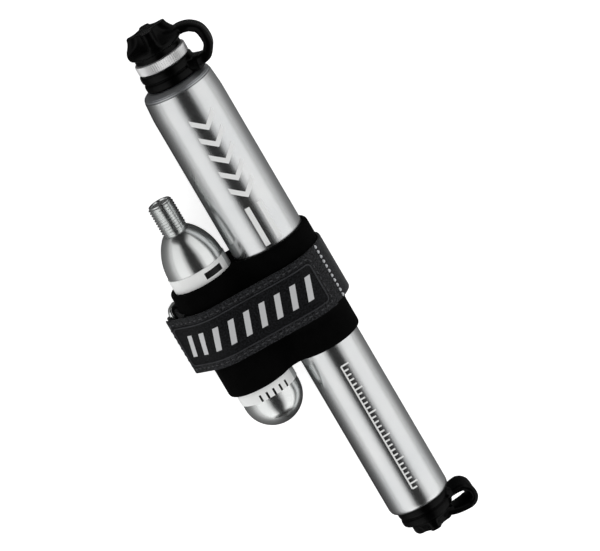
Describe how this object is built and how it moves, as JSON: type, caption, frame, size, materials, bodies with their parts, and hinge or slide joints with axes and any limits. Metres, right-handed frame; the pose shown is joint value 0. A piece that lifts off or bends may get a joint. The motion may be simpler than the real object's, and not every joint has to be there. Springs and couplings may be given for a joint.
{
  "type": "mini pump",
  "caption": "Hand pump for bicycle tyres with telescoping tubes, rubber end caps on tethers, a hose stowed in the handle and a gas cartridge in a strapped sleeve.",
  "frame": {"origin": "middle of the strap's flat back, on the surface the pump lies on, half way between the pump's axis and the cartridge's axis", "axes": "+X runs along the pump from the handle end to the foot, +Y from the cartridge to the pump, +Z away from the surface it lies on"},
  "size_m": [0.2098, 0.0645, 0.035],
  "materials": {
    "tube_aluminium": "satin anodised, turned",
    "dark_anodised": "grey anodised aluminium, turned",
    "bright_aluminium": "bright turned and knurled",
    "cartridge_steel": "bright nickel-plated deep-drawn steel",
    "ring_steel": "bright plated steel wire",
    "spring_steel": "drawn spring wire",
    "valve_brass": "turned",
    "black_rubber": "moulded, satin",
    "hose_rubber": "extruded, matt",
    "black_plastic": "turned acetal",
    "white_plastic": "moulded",
    "neoprene": "knit-faced neoprene",
    "webbing": "woven nylon",
    "patch_rubber": "moulded patch with a woven grain and a raised edge, satin",
    "label_film": "printed film"
  },
  "bodies": {
    "barrel": {"barrel_tube": "tube_aluminium", "barrel_gland": "black_plastic", "gland_o_ring": "black_rubber", "rod_wiper": "black_rubber", "barrel_foot": "bright_aluminium", "foot_o_ring": "black_rubber", "valve_seat": "valve_brass", "outlet_spring": "spring_steel", "bottom_boot": "black_rubber", "sleeve": "neoprene", "strap_band": "webbing", "ring_loop": "webbing", "strap_fold": "webbing", "strap_ring": "ring_steel"},
    "handle": {"handle_tube": "tube_aluminium", "handle_collar": "dark_anodised", "top_boot": "black_rubber", "piston_rod": "bright_aluminium", "piston_head": "black_plastic", "piston_seal": "black_rubber", "rod_bumper": "black_rubber"},
    "hose": {"hose_head": "bright_aluminium", "head_seal": "black_rubber", "piercing_pin": "cartridge_steel", "hose_tube": "hose_rubber", "upper_ferrule": "bright_aluminium", "lower_ferrule": "bright_aluminium", "valve_chuck": "bright_aluminium", "chuck_grommet": "black_rubber"},
    "top_cap": {"top_cap": "black_rubber", "top_tether": "black_rubber"},
    "bottom_cap": {"bottom_cap": "black_rubber", "bottom_tether": "black_rubber"},
    "outlet_valve": {"outlet_poppet": "white_plastic"},
    "cartridge": {"cartridge_bottle": "cartridge_steel", "cartridge_disc": "cartridge_steel", "cartridge_label": "label_film"},
    "strap_flap": {"strap_flap": "webbing", "strap_patch": "patch_rubber"}
  },
  "joints": [
    {"name": "pump_stroke", "type": "slide", "parent": "barrel", "child": "handle", "axis": [-1, 0, 0], "range_m": [0, 0.138]},
    {"name": "hose_turn", "type": "hinge", "parent": "handle", "child": "hose", "pos_m": [-0.0925, 0.0132, 0.01665], "axis": [-1, 0, 0], "continuous": true},
    {"name": "top_cap_pull", "type": "slide", "parent": "handle", "child": "top_cap", "axis": [-1, 0, 0], "range_m": [0, 0.009], "deforming": ["top_tether"]},
    {"name": "bottom_cap_pull", "type": "slide", "parent": "barrel", "child": "bottom_cap", "axis": [1, 0, 0], "range_m": [0, 0.008], "deforming": ["bottom_tether"]},
    {"name": "outlet_valve_lift", "type": "slide", "parent": "barrel", "child": "outlet_valve", "axis": [1, 0, 0], "range_m": [0, 0.001], "stiffness_N_per_m": 150, "springref_m": -0.0005, "deforming": ["outlet_spring"]},
    {"name": "cartridge_draw", "type": "slide", "parent": "barrel", "child": "cartridge", "axis": [-1, 0, 0], "range_m": [0, 0.062]},
    {"name": "strap_peel", "type": "hinge", "parent": "barrel", "child": "strap_flap", "pos_m": [0, -0.0292, 0.01114], "axis": [1, 0, 0], "range_deg": [0, 85]}
  ]
}
